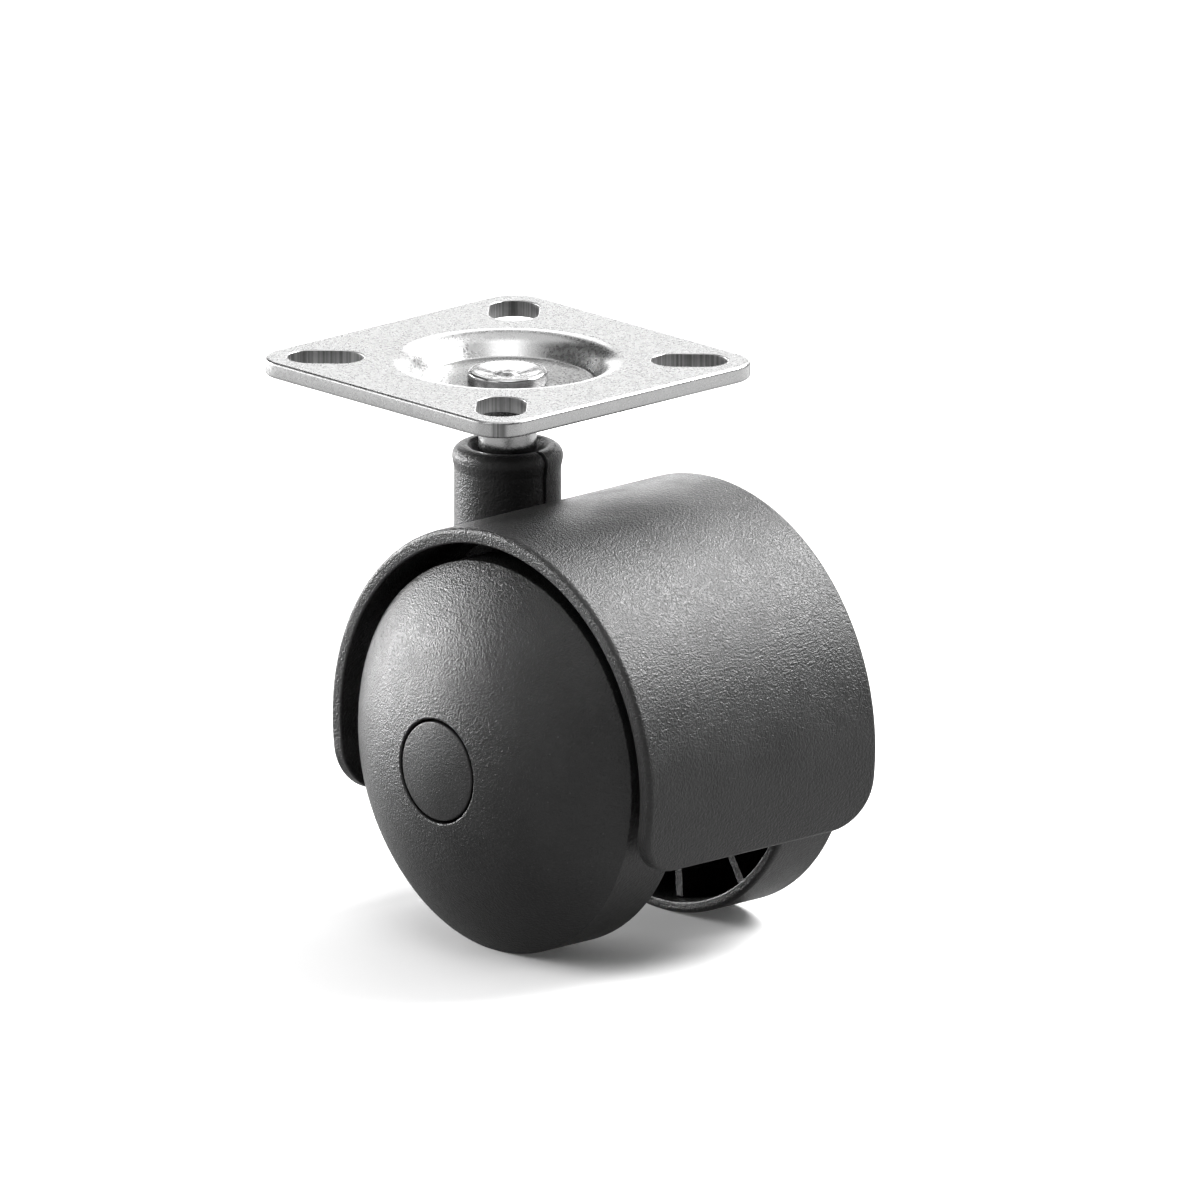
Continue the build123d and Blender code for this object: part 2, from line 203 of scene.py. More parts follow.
class Finishes(bpy.types.PropertyGroup):
    plastic: grey("Plastic", "Colour of the black moulded plastic", 0.013)
    plastic_gloss: share("Plastic roughness", "Roughness of the moulded plastic", 0.37)
    plastic_shine: share("Plastic shine", "Specular level of the moulded plastic", 0.45)
    grain: length("Grain", "Size of the moulded texture's grains", 0.3)
    grain_depth: length("Grain depth", "Depth of the moulded texture", 0.13)
    zinc: grey("Zinc", "Colour of the plated steel", 0.39)
    zinc_gloss: share("Zinc roughness", "Roughness of the plated steel", 0.28)
    # The slot walls' colour is darker than the zinc partly as cut steel and partly as painted shade inside
    # the slots.
    cut: grey("Cut steel", "Colour of the punched slots' walls", 0.26)
    steel: grey("Steel", "Colour of the plain steel pieces", 0.45)


class StageLook(bpy.types.PropertyGroup):
    azimuth: angle("Azimuth", "Camera's turn from looking along +Y", 47.0)
    elevation: angle("Elevation", "Camera's height over the horizon", 15.3)
    frame_width: length("Frame width", "Width of the picture at the object", 124.9)
    across: length("Across", "Picture's middle to the right of the axle", -0.41)
    upwards: length("Upwards", "Picture's middle above the axle", 13.56)
    floor: grey("Floor", "Colour of the floor", 0.85)
    bounce: share("Bounce", "Part of the floor's colour that the object sees", 0.34)
    near_glow: share("Near glow", "White added to the floor under the object", 0.06)
    far_glow: share("Far glow", "White added to the floor away from the object", 0.6)
    glow_start: length("Glow start", "Distance at which the floor starts to turn white", 100.0)
    glow_end: length("Glow end", "Distance at which the floor has turned white", 300.0)
    sky: grey("Sky", "Dim light of the room all round", 0.1)


# Surfaces. A patch is a pair: an array of points and an array of four-cornered faces.


def quads(rows, columns, closed=False):
    """Faces of a grid stored row by row. When closed, the last column joins the first."""
    row, column = np.meshgrid(
        np.arange(rows - 1), np.arange(columns if closed else columns - 1), indexing="ij"
    )
    beside = (column + 1) % columns
    corners = [row * columns + column, row * columns + beside, (row + 1) * columns + beside]
    corners.append((row + 1) * columns + column)
    return np.stack(corners, -1).reshape(-1, 4)


def patch(grid, closed=False):
    """A patch from a grid of points, rows by columns by 3."""
    rows, columns = grid.shape[:2]
    return grid.reshape(-1, 3), quads(rows, columns, closed)


def unit(vector):
    """The vector over its own length."""
    return vector / np.linalg.norm(vector)


def circle(angles):
    """Points of the unit circle: the angles' cosines and sines."""
    return np.stack([np.cos(angles), np.sin(angles)], 1)


def lifted(points, height):
    """Points of a plane with a height as their third part."""
    return np.concatenate([points, height + 0 * points[..., :1]], -1)


def soft_step(x):
    """A smooth step from 0 to 1: x^2 (3 - 2 x), held at both ends."""
    x = np.clip(x, 0, 1)
    return x * x * (3 - 2 * x)


def rounded(points, radii, step=radians(9.0), support=0.04 * MM):
    """A path of straight runs with an arc at each inner corner. Where the path turns by t, an arc of radius r
    starts and ends r tan(t / 2) from the corner, round a centre square to the run. A support point lies on
    each run just outside the arc, and a corner of radius 0 stays sharp."""
    points = np.asarray(points, float)
    path = [points[0]]
    for before, corner, after, radius in zip(points[:-2], points[1:-1], points[2:], radii):
        if radius == 0:
            path.append(corner)
            continue
        into, away = unit(corner - before), unit(after - corner)
        turn = atan2(into[0] * away[1] - into[1] * away[0], into @ away)
        reach = radius * tan(abs(turn) / 2)
        start = corner - into * reach
        spoke = -copysign(radius, turn) * np.array([-into[1], into[0]])
        t = np.linspace(0, turn, max(int(np.ceil(abs(turn) / step)), 2) + 1)
        c, s = np.cos(t), np.sin(t)
        swung = np.stack([spoke[0] * c - spoke[1] * s, spoke[0] * s + spoke[1] * c], 1)
        path += [start - into * support, *(start - spoke + swung), corner + away * (reach + support)]
    path.append(points[-1])
    return np.array(path)


def turned(profile, angles):
    """A profile of (radius, height) carried round an upright axis: (r cos a, r sin a, height)."""
    radius, height = profile[:, :1], profile[:, 1:]
    return np.stack([radius * np.cos(angles), radius * np.sin(angles), height + 0 * angles], -1)


def round_turn(count):
    """Angles of one whole turn, without the last, which is the first again."""
    return np.linspace(0, 2 * pi, count, endpoint=False)


def round_axle(profile, side, housing, count=192):
    """A profile of (radius, distance along the axle) turned about the axle, on one side of the middle."""
    spun = turned(profile, round_turn(count))
    return patch(to_axle(spun, side, housing), closed=True)


def to_axle(points, side, housing):
    """Points about an upright axis laid along the axle: their height becomes the distance to that side."""
    x, y, z = points[..., 0], points[..., 1], points[..., 2]
    return np.stack([housing.trail + x, side * z, y - housing.axle_drop], -1)


def slab(lower, upper, low, high):
    """A closed block between two outlines over the same columns (each point a pair), from one level to
    another. Its sides are one band along the outlines, and each end is closed by one face."""
    ring = np.stack([lower, upper, upper, lower, lower])
    level = np.array([low, low, high, high, low])[:, None, None]
    grid = lifted(ring, level)
    ends = [grid[:4, column].reshape(2, 2, 3) for column in (0, -1)]
    for end in ends:
        end[1] = end[1][::-1].copy()
    return [patch(grid)] + [patch(end) for end in ends]


def into_scene(name, data):
    """A new object of the scene, from a mesh, a lamp or a camera."""
    made = bpy.data.objects.new(name, data)
    bpy.context.scene.collection.objects.link(made)
    return made


def make_piece(name, patches, material, sharp=radians(32.0)):
    """One mesh object at the origin from several patches. Shared borders are merged, faces point outwards,
    and edges that turn more sharply than the given angle stay crisp."""
    starts = np.cumsum([0] + [len(points) for points, _ in patches])
    points = np.concatenate([points for points, _ in patches])
    faces = np.concatenate([faces + start for (_, faces), start in zip(patches, starts)])
    mesh = bpy.data.meshes.new(name)
    mesh.from_pydata(points.tolist(), [], faces.tolist())
    shell = bmesh.new()
    shell.from_mesh(mesh)
    bmesh.ops.remove_doubles(shell, verts=shell.verts, dist=MERGE)
    bmesh.ops.dissolve_degenerate(shell, edges=shell.edges, dist=MERGE)
    bmesh.ops.recalc_face_normals(shell, faces=shell.faces)
    shell.to_mesh(mesh)
    shell.free()
    mesh.shade_smooth()
    mesh.set_sharp_from_angle(angle=sharp)
    mesh.materials.append(material)
    return into_scene(name, mesh)


def stand_for(made, node):
    """The piece rides with a node's body and stands in for that node, which is hidden."""
    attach(made, BODY[node])
    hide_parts(node)


# The plate.


def slot_outline(directions, sizes):
    """Points and outward normals of a slot, seen from its middle in the given directions. A ray meets the
    straight side at radius / |across| if that is within the straight part, and otherwise the end's circle, at
    h |along| + sqrt(radius^2 - h^2 across^2), where h is half the straight part's length."""
    radius = sizes.slot_width / 2
    straight = (sizes.slot_length - sizes.slot_width) / 2
    diagonal = np.array([1.0, 1.0]) / sqrt(2)
    normal_way = np.array([-1.0, 1.0]) / sqrt(2)
    rays = directions / np.linalg.norm(directions, axis=1, keepdims=True)
    along, across = rays @ diagonal, rays @ normal_way
    to_side = radius / np.maximum(np.abs(across), 1e-9)
    to_end = straight * np.abs(along) + np.sqrt(np.maximum(radius**2 - (straight * across) ** 2, 0))
    reach = np.where(to_side * np.abs(along) <= straight, to_side, to_end)
    a, b = reach * along, reach * across
    inside = np.clip(a, -straight, straight)
    normals = (a - inside)[:, None] * diagonal + b[:, None] * normal_way
    return a[:, None] * diagonal + b[:, None] * normal_way, normals / radius


def dish_radii(sizes):
    """Radius where the dish's wall would meet the flat if both were sharp, and radius of the whole dish with
    its bend: the bend reaches b tan(s / 2) past the corner, for a bend radius b and a slope s."""
    rim = sizes.dish_floor + sizes.dish_depth / tan(sizes.dish_slope)
    return rim, rim + sizes.rim_bend * tan(sizes.dish_slope / 2) + sizes.thickness / 4


def plate_patches(sizes):
    """The plate as four quarters round the dish. Each quarter's flat is ruled from the slot to the quarter's
    border: point = (1 - v) slot + v border. Edges are profiles carried along an outline, on its normals."""
    thick, edge, slot_edge = sizes.thickness, sizes.edge, sizes.slot_edge
    rim, dish = dish_radii(sizes)
    flat = sizes.side / 2 - edge
    corner = sizes.corner - edge
    slot_middle = np.array([1.0, 1.0]) * sizes.slot_pitch / 2

    run_steps, side_steps, corner_steps, dish_steps = 7, 41, 17, 49
    ends = np.zeros(run_steps)
    run = np.linspace(dish, flat, run_steps)
    side = np.linspace(0, flat - corner, side_steps)
    bow = np.linspace(0, QUARTER, corner_steps)[1:-1]
    right = np.stack([flat + 0 * side, side], 1)
    round_corner = flat - corner + corner * circle(bow)
    outer = np.concatenate([right, round_corner, right[::-1, ::-1]])
    along_x, along_y = (np.tile(way, (len(side), 1)) for way in ([1.0, 0.0], [0.0, 1.0]))
    outer_normals = np.concatenate([along_x, circle(bow), along_y])
    dish_arc = dish * circle(np.linspace(QUARTER, 0, dish_steps))
    leave, enter = np.stack([run, ends], 1), np.stack([ends, run[::-1]], 1)
    border = np.concatenate([leave[:-1], outer, enter[1:-1], dish_arc[:-1]])
    slot, slot_normals = slot_outline(border - slot_middle, sizes)
    grown = slot + slot_edge * slot_normals

    v = np.array([0, 0.03, 0.97, 1])[:, None, None]  # Rows near both borders keep the shading flat.
    face = (1 - v) * (slot_middle + grown) + v * border
    patches = []
    for level in (0.0, -thick):
        patches.append(patch(lifted(face, level), closed=True))
    wall = [(slot_edge, 0), (0, 0), (0, -thick), (slot_edge, -thick)]
    wall = rounded(wall, [slot_edge * NEARLY] * 2, support=0)
    wall = np.concatenate([[(slot_edge, 0)], wall, [(slot_edge, -thick)]])
    strip = (slot_middle + slot)[None] + wall[:, None, :1] * slot_normals[None]
    patches.append(patch(lifted(strip, wall[:, None, 1:]), closed=True))
    rim_profile = [(0, 0), (edge, 0), (edge, -thick), (0, -thick)]
    rim_profile = rounded(rim_profile, [edge * NEARLY] * 2, support=0)
    strip = outer[None] + rim_profile[:, None, :1] * outer_normals[None]
    patches.append(patch(lifted(strip, rim_profile[:, None, 1:])))

    whole = []
    for turn in range(4):
        c, s = round(cos(turn * QUARTER)), round(sin(turn * QUARTER))
        spin = np.array([[c, s, 0], [-s, c, 0], [0, 0, 1]])
        whole += [(points @ spin, faces) for points, faces in patches]

    depth, shift = sizes.dish_depth, thick * tan(sizes.dish_slope / 2)
    low = -depth - thick
    fine = radians(4.0)
    upper = [(sizes.hole, -depth), (sizes.dish_floor, -depth), (rim, 0), (dish, 0)]
    under = [(sizes.hole, low), (sizes.dish_floor + shift, low), (rim + shift, -thick), (dish, -thick)]
    upper = rounded(upper, [sizes.floor_bend, sizes.rim_bend], fine)
    under = rounded(under, [sizes.floor_bend + thick, sizes.rim_bend - thick], fine)
    for profile in (upper, under, np.stack([under[0], upper[0]])):
        whole.append(patch(turned(profile, round_turn(4 * (dish_steps - 1))), closed=True))
    return whole


# The stem.


def stem_patches(sizes, plate):
    """The stem turned from one profile of (radius, height), from its head down to its tip."""
    floor = -plate.dish_depth
    under = floor - plate.thickness
    top = floor + sizes.head_height
    tip = under - sizes.length
    groove_top = tip + sizes.groove_rise + sizes.groove_width / 2
    # The head's face: a flat nub in the middle, a valley round it, and the crest of the ring.
    valley = (sizes.head - sizes.ring) / 2
    nub = valley * 0.42
    ring_foot, ring_crest = top - sizes.valley * 0.25, sizes.head - sizes.ring * 0.55
    shank, sunk = sizes.radius, sizes.radius - sizes.groove
    points = [
        (0, top - sizes.nub),
        (nub, top - sizes.nub),
        (valley, top - sizes.valley),
        (sizes.head - sizes.ring, ring_foot),
        (ring_crest, top),
        (sizes.head, top),
        (sizes.head, floor),
        (sizes.tenon, floor),
        (sizes.tenon, under),
        (sizes.flange, under),
        (sizes.flange, under - sizes.flange_height),
        (shank, under - sizes.flange_height),
        (shank, groove_top),
        (sunk, groove_top),
        (sunk, groove_top - sizes.groove_width),
        (shank, groove_top - sizes.groove_width),
        (shank, tip + sizes.tip),
        (shank - sizes.tip, tip),
        (0, tip),
    ]
    soft, flange_root = sizes.head_edge, 0.3 * MM
    radii = [soft, soft * 0.8, soft * 1.2, soft, soft, 0, 0, 0, soft, soft, flange_root, 0, 0, 0, 0, 0, 0]
    profile = rounded(points, radii, radians(7.5))
    return [patch(turned(profile, round_turn(160)), closed=True)]


# The housing.


def hood_patches(sizes):
    """The hood as a thick sheet round the axle: x = r cos a, z = r sin a over the crown. Below the axle the
    same two surfaces run down to the skirt's outline, x = sqrt(r^2 - z^2), with rows that draw together at
    the foot. The radius r comes in by e - sqrt(e^2 - (e - d)^2) where the outline is nearer than e, and d is
    the distance to a box with round corners."""
    wide, corner, drop = sizes.half_width, sizes.skirt_corner, sizes.skirt
    corner_steps, middle_steps, skirt_rows, crown_rows = 25, 23, 34, 113
    bow = np.linspace(0, QUARTER, corner_steps)
    side = wide - corner + corner * np.sin(bow)
    middle = np.linspace(corner - wide, wide - corner, middle_steps)[1:-1]
    across = np.concatenate([-side[::-1], middle, side])
    past = np.maximum(np.abs(across) - (wide - corner), 0)
    foot = -drop + corner - np.sqrt(np.maximum(corner**2 - past**2, 0))
    rise = 1 - np.linspace(0, 1, skirt_rows) ** 2
    swing = np.linspace(0, pi, crown_rows)[1:-1]

    def surface(radius, inwards, rim_edge, foot_edge):
        heights = foot * rise[:, None]
        crown = radius * np.sin(swing)[:, None] + 0 * across
        level = np.concatenate([heights, crown, heights[::-1]])
        beyond = np.abs(across) - (wide - corner) + 0 * level
        below = -level - (drop - corner)
        outside = np.hypot(np.maximum(beyond, 0), np.maximum(below, 0))
        distance = corner - outside - np.minimum(np.maximum(beyond, below), 0)
        edge = rim_edge + (foot_edge - rim_edge) * soft_step(below / corner)
        lack = np.clip(edge - distance, 0, edge)
        r = radius + inwards * (edge - np.sqrt(edge**2 - lack**2))
        rows = len(heights)
        x = np.sqrt(np.maximum(r**2 - level**2, 0))
        x[-rows:] *= -1
        x[rows:-rows] = r[rows:-rows] * np.cos(swing)[:, None]
        z = level.copy()
        z[rows:-rows] = r[rows:-rows] * np.sin(swing)[:, None]
        return np.stack([sizes.trail + x, across + 0 * z, z - sizes.axle_drop], -1)

    outside = surface(sizes.inner + sizes.wall, -1, sizes.rim, sizes.skirt_edge)
    inside = surface(sizes.inner, 1, sizes.inner_edge, sizes.inner_edge)
    sheets = np.stack([outside, inside])
    rims = (sheets[:, 0], sheets[:, -1], sheets[:, :, 0], sheets[:, :, -1])
    return [patch(sheet) for sheet in (*sheets, *rims)]


def socket_patches(sizes, stem, plate):
    """The socket turned about the swivel axis. The mould seam is a furrow down the front: points sink along
    the profile's normal by depth times a soft step of their distance from the seam's line."""
    top, floor = -sizes.socket_top, -sizes.socket_floor
    foot_edge, flare_bend, lip_bend, mouth_edge = 0.3 * MM, 0.8 * MM, sizes.lip * 0.97, 0.25 * MM
    seam_fade, seam_end = 0.4 * MM, top - 12 * MM
    tip = -plate.dish_depth - plate.thickness - stem.length
    recess_top = tip + stem.groove_rise + sizes.recess_width / 2
    outside = rounded(
        [
            (0, floor),
            (sizes.socket, floor),
            (sizes.socket, top - sizes.lip_height),
            (sizes.socket + sizes.flare, top - sizes.lip - sizes.flare),
            (sizes.socket + sizes.flare, top),
            (sizes.mouth, top),
            (sizes.bore, top - sizes.mouth_depth),
        ],
        [foot_edge, flare_bend, flare_bend, lip_bend, mouth_edge],
    )
    inside = np.array(
        [
            (sizes.bore, top - sizes.mouth_depth),
            (sizes.bore, recess_top),
            (sizes.recess, recess_top),
            (sizes.recess, recess_top - sizes.recess_width),
            (sizes.bore, recess_top - sizes.recess_width),
            (sizes.bore, -sizes.bore_floor),
            (0, -sizes.bore_floor),
        ]
    )
    seam_steps, other_steps = 25, 120
    close = np.linspace(-1, 1, seam_steps) * 2 * sizes.seam_width / sizes.socket
    wide = np.linspace(close[-1], 2 * pi + close[0], other_steps)[1:-1]
    angles = np.concatenate([close, wide])
    grid = turned(outside, angles)
    tangent = np.gradient(outside, axis=0)
    normal = np.stack([tangent[:, 1], -tangent[:, 0]], 1) / np.linalg.norm(tangent, axis=1, keepdims=True)
    away = np.abs(angles[: len(close)]) * sizes.socket
    step = soft_step((0.5 * sizes.seam_width - away) / (0.2 * sizes.seam_width) + 0.5)
    furrow = np.zeros(len(angles))
    furrow[: len(close)] = sizes.seam_depth * step
    worked = np.clip((outside[:, 0] - sizes.mouth) / seam_fade, 0, 1) * (outside[:, 1] > seam_end)
    sunk = furrow * worked[:, None]
    grid[..., 0] -= sunk * normal[:, :1] * np.cos(angles)
    grid[..., 1] -= sunk * normal[:, :1] * np.sin(angles)
    grid[..., 2] -= sunk * normal[:, 1:]
    return [patch(grid, closed=True), patch(turned(inside, angles), closed=True)]


WEB_FRONT = radians(5.0)  # Where the web's front end meets the hood, over the axle's level.
RIB_TILTS = np.radians([22.0, 52.0, 82.0])  # The cross ribs' angles over the axle's level, from the front.


def stiffener_patches(sizes):
    """The web in the middle plane, the cross ribs and the axle boss, as blocks and a turned tube. The web's
    top and the ribs' outer ends lie in the middle of the hood's wall, z = sqrt(r^2 - x^2)."""
    sheet = sizes.inner + sizes.wall / 2
    floor = sizes.axle_drop - sizes.socket_floor
    inside_wall, boss_edge = 0.4 * MM, 0.2 * MM
    front = sheet * cos(WEB_FRONT)
    knots = [
        (-sheet + inside_wall, floor),
        (sizes.socket - sizes.trail, floor),
        (-sizes.boss, 0),
        (0, -sizes.boss),
        (sizes.boss, 0),
        (front, sizes.web_rise),
    ]
    columns = np.unique(np.concatenate([np.linspace(knots[0][0], front, 60), [x for x, _ in knots]]))
    lower = np.stack([columns, np.interp(columns, *zip(*knots))], 1)
    upper = np.stack([columns, np.maximum(np.sqrt(sheet**2 - columns**2), lower[:, 1])], 1)
    blocks = slab(lower, upper, -sizes.web / 2, sizes.web / 2)
    for tilt in RIB_TILTS:
        spoke, wide = np.array([cos(tilt), sin(tilt)]), np.array([-sin(tilt), cos(tilt)]) * sizes.rib / 2
        radii = np.array([sheet - sizes.rib_depth, sheet])[:, None]
        blocks += slab(radii * spoke - wide, radii * spoke + wide, -sizes.rib_reach, sizes.rib_reach)
    moved = [(to_axle(points, 1, sizes), faces) for points, faces in blocks]
    boss = rounded(
        [
            (sizes.axle_bore, 0),
            (sizes.axle_bore, sizes.boss_reach),
            (sizes.boss, sizes.boss_reach),
            (sizes.boss, -sizes.boss_reach),
            (sizes.axle_bore, -sizes.boss_reach),
            (sizes.axle_bore, 0),
        ],
        [boss_edge] * 4,
    )
    return moved + [round_axle(boss, 1, sizes, 72)]


# The wheels and their caps.


def dome_radius(wheel):
    """Radius of the sphere through the dome's edge and top: (r^2 + h^2) / 2 h."""
    return (wheel.radius**2 + wheel.dome**2) / (2 * wheel.dome)


def dome_line(wheel, start, end, inset=0.0, count=40):
    """The dome's outline between two radii, as (radius, distance along the axle). The distance is
    m + sqrt((R - inset)^2 - radius^2), for the dome's sphere of radius R with its middle at m."""
    sphere = dome_radius(wheel)
    middle = wheel.rim + wheel.tread + wheel.dome - sphere
    radii = np.linspace(start, end, count)
    return np.stack([radii, middle + np.sqrt((sphere - inset) ** 2 - radii**2)], 1)


def wheel_patches(wheel, housing, side):
    """The wheel: one closed section turned about the axle, and thin ribs from hub to rim under the dome."""
    inner = wheel.radius - wheel.rim_wall
    pocket = wheel.cap + wheel.cap_groove
    shell = pocket + wheel.pocket_wall
    face = dome_line(wheel, wheel.radius, pocket)
    floor = face[-1, 1] - wheel.pocket
    lining = dome_line(wheel, shell, inner, wheel.dome_wall)
    hub_end = wheel.rim + wheel.hub_step
    shoulder = floor - wheel.dome_wall - (shell - wheel.hub)
    soft, root, dome_root = 0.2 * MM, 0.6 * MM, 0.5 * MM
    edge_middle = (wheel.radius - wheel.rim_wall / 2, wheel.rim)
    tread = [edge_middle, (wheel.radius, wheel.rim), face[0], face[2]]
    lead = rounded(tread, [wheel.tread_edge, wheel.dome_edge])
    pocket_run = rounded(
        [
            face[-3],
            face[-1],
            (pocket, floor),
            (wheel.bore, floor),
            (wheel.bore, hub_end),
            (wheel.hub, hub_end),
            (wheel.hub, shoulder),
            (shell, floor - wheel.dome_wall),
            lining[0],
            lining[2],
        ],
        [wheel.cap_edge, soft, soft, soft, soft, root, root, root],
    )
    tail = rounded([lining[-3], lining[-1], (inner, wheel.rim), edge_middle], [dome_root, soft])
    section = np.concatenate([lead, face[3:-3], pocket_run, lining[3:-3], tail])
    patches = [round_axle(section, side, housing)]

    into_hub, into_rim = 0.5 * MM, 0.4 * MM
    radii = np.linspace(wheel.hub - into_hub, inner + into_rim, 30)
    under_dome = dome_line(wheel, radii[0], radii[-1], wheel.dome_wall / 2, len(radii))[:, 1]
    top = np.where(radii < shell, floor - wheel.dome_wall / 2, under_dome)
    foot = np.stack([radii, wheel.rim + wheel.rib_recess + 0 * radii], 1)
    rib = slab(foot, np.stack([radii, top], 1), -wheel.rib / 2, wheel.rib / 2)
    for step in range(wheel.ribs):
        turn = -QUARTER - side * (wheel.rib_phase + step * 2 * pi / wheel.ribs)
        c, s = cos(turn), sin(turn)
        for points, faces in rib:
            out, along, beside = points.T
            spun = np.stack([out * c - beside * s, out * s + beside * c, along], 1)
            patches.append((to_axle(spun, side, housing), faces))
    return patches


def cap_patches(wheel, housing, side):
    """The hub cap: a slice of the dome with a rounded rim and a short skirt, turned about the axle."""
    face = dome_line(wheel, 0, wheel.cap, wheel.cap_inset, 24)
    under = face[-1, 1] - wheel.cap_wall
    foot = under - wheel.cap_skirt
    inner = wheel.cap - wheel.cap_skirt_wall
    edge, root = 0.15 * MM, 0.2 * MM
    run = rounded(
        [face[-3], face[-1], (wheel.cap, foot), (inner, foot), (inner, under), (0, under)],
        [wheel.cap_edge, edge, edge, root],
    )
    return [round_axle(np.concatenate([face[:-3], run]), side, housing, 128)]


# Materials.


def add(tree, kind, **settings):
    """A new node. A setting that names a property sets it, and one that names an input (with _ for a space)
    sets or links that input."""
    made = tree.nodes.new("ShaderNode" + kind)
    for key, value in settings.items():
        if hasattr(made, key):
            setattr(made, key, value)
    for key, value in settings.items():
        if not hasattr(made, key):
            join(tree, value, made.inputs[key.replace("_", " ")])
    return made


def join(tree, value, socket):
    """Links an output to an input, or sets the input to a plain value."""
    if isinstance(value, bpy.types.NodeSocket):
        tree.links.new(value, socket)
    else:
        socket.default_value = value


def sums(tree, operation, first, second=0.0, third=0.0):
    """A Math node's result."""
    made = add(tree, "Math", operation=operation)
    for value, socket in zip((first, second, third), made.inputs):
        join(tree, value, socket)
    return made.outputs[0]


def spread(tree, value, low, high, to_low=0.0, to_high=1.0):
    """A value carried smoothly from one range to another, and held at its ends."""
    made = add(tree, "MapRange", interpolation_type="SMOOTHSTEP")
    for given, socket in zip((value, low, high, to_low, to_high), made.inputs):
        join(tree, given, socket)
    return made.outputs[0]


def far(tree, vector):
    """A vector's length."""
    return add(tree, "VectorMath", operation="LENGTH", Vector=vector).outputs["Value"]


def uneven(tree, value, gloss):
    """A roughness that strays a little round a finish's own, with a value from 0 to 1."""
    return spread(tree, value, 0.0, 1.0, gloss - 0.03, gloss + 0.05)


def tint(tree, factor, first, second):
    """A colour between two others."""
    made = add(tree, "Mix", data_type="RGBA")
    for given, socket in zip((factor, first, second), (made.inputs[0], made.inputs[6], made.inputs[7])):
        join(tree, given, socket)
    return made.outputs[2]


def new_group(name, inputs, outputs):
    """An empty shader node group with named float sockets, and the sockets of its input and output nodes."""
    tree = bpy.data.node_groups.new(name, "ShaderNodeTree")
    for label in inputs:
        tree.interface.new_socket(label, in_out="INPUT", socket_type="NodeSocketFloat")
    for label in outputs:
        tree.interface.new_socket(label, in_out="OUTPUT", socket_type="NodeSocketFloat")
    return tree, tree.nodes.new("NodeGroupInput").outputs, tree.nodes.new("NodeGroupOutput").inputs


def moulded_grain():
    """Group: the fine eroded texture of a moulding. Height is two sizes of noise, Fleck marks a few bright
    specks and Cloud is the slow unevenness of the surface."""
    tree, given, out = new_group("Moulded Grain", ["Grain", "Fleck Share"], ["Height", "Fleck", "Cloud"])
    place = add(tree, "TexCoord").outputs["Object"]
    scale = sums(tree, "DIVIDE", 1.0, given["Grain"])
    coarse = add(tree, "TexNoise", Vector=place, Scale=scale, Detail=2.0, Roughness=0.55).outputs["Fac"]
    double = sums(tree, "MULTIPLY", scale, 2.3)
    cells = add(tree, "TexVoronoi", feature="SMOOTH_F1", Vector=place, Scale=double, Smoothness=0.6)
    height = sums(tree, "MULTIPLY_ADD", cells.outputs["Distance"], 0.45, coarse)
    join(tree, height, out["Height"])
    spots = add(tree, "TexVoronoi", Vector=place, Scale=sums(tree, "MULTIPLY", scale, 0.55))
    chance = add(tree, "SeparateColor", Color=spots.outputs["Color"]).outputs[0]
    chosen = sums(tree, "LESS_THAN", chance, given["Fleck Share"])
    dot = spread(tree, spots.outputs["Distance"], 0.1, 0.24, 1.0, 0.0)
    join(tree, sums(tree, "MULTIPLY", chosen, dot), out["Fleck"])
    slow = add(tree, "TexNoise", Vector=place, Scale=210.0, Detail=3.0, Roughness=0.6).outputs["Fac"]
    join(tree, spread(tree, slow, 0.3, 0.72), out["Cloud"])
    return tree


def zinc_bloom():
    """Group: the fine crystals of zinc plating. Height and Tone are fine noise, Cloud is the unevenness."""
    tree, given, out = new_group("Zinc Bloom", ["Crystal"], ["Height", "Tone", "Cloud"])
    place = add(tree, "TexCoord").outputs["Object"]
    scale = sums(tree, "DIVIDE", 1.0, given["Crystal"])
    fine = add(tree, "TexNoise", Vector=place, Scale=scale, Detail=3.0, Roughness=0.65).outputs["Fac"]
    cells = add(tree, "TexVoronoi", Vector=place, Scale=scale)
    join(tree, sums(tree, "MULTIPLY_ADD", cells.outputs["Distance"], 0.4, fine), out["Height"])
    join(tree, add(tree, "SeparateColor", Color=cells.outputs["Color"]).outputs[0], out["Tone"])
    slow = add(tree, "TexNoise", Vector=place, Scale=260.0, Detail=4.0, Roughness=0.6).outputs["Fac"]
    join(tree, spread(tree, slow, 0.3, 0.7), out["Cloud"])
    return tree


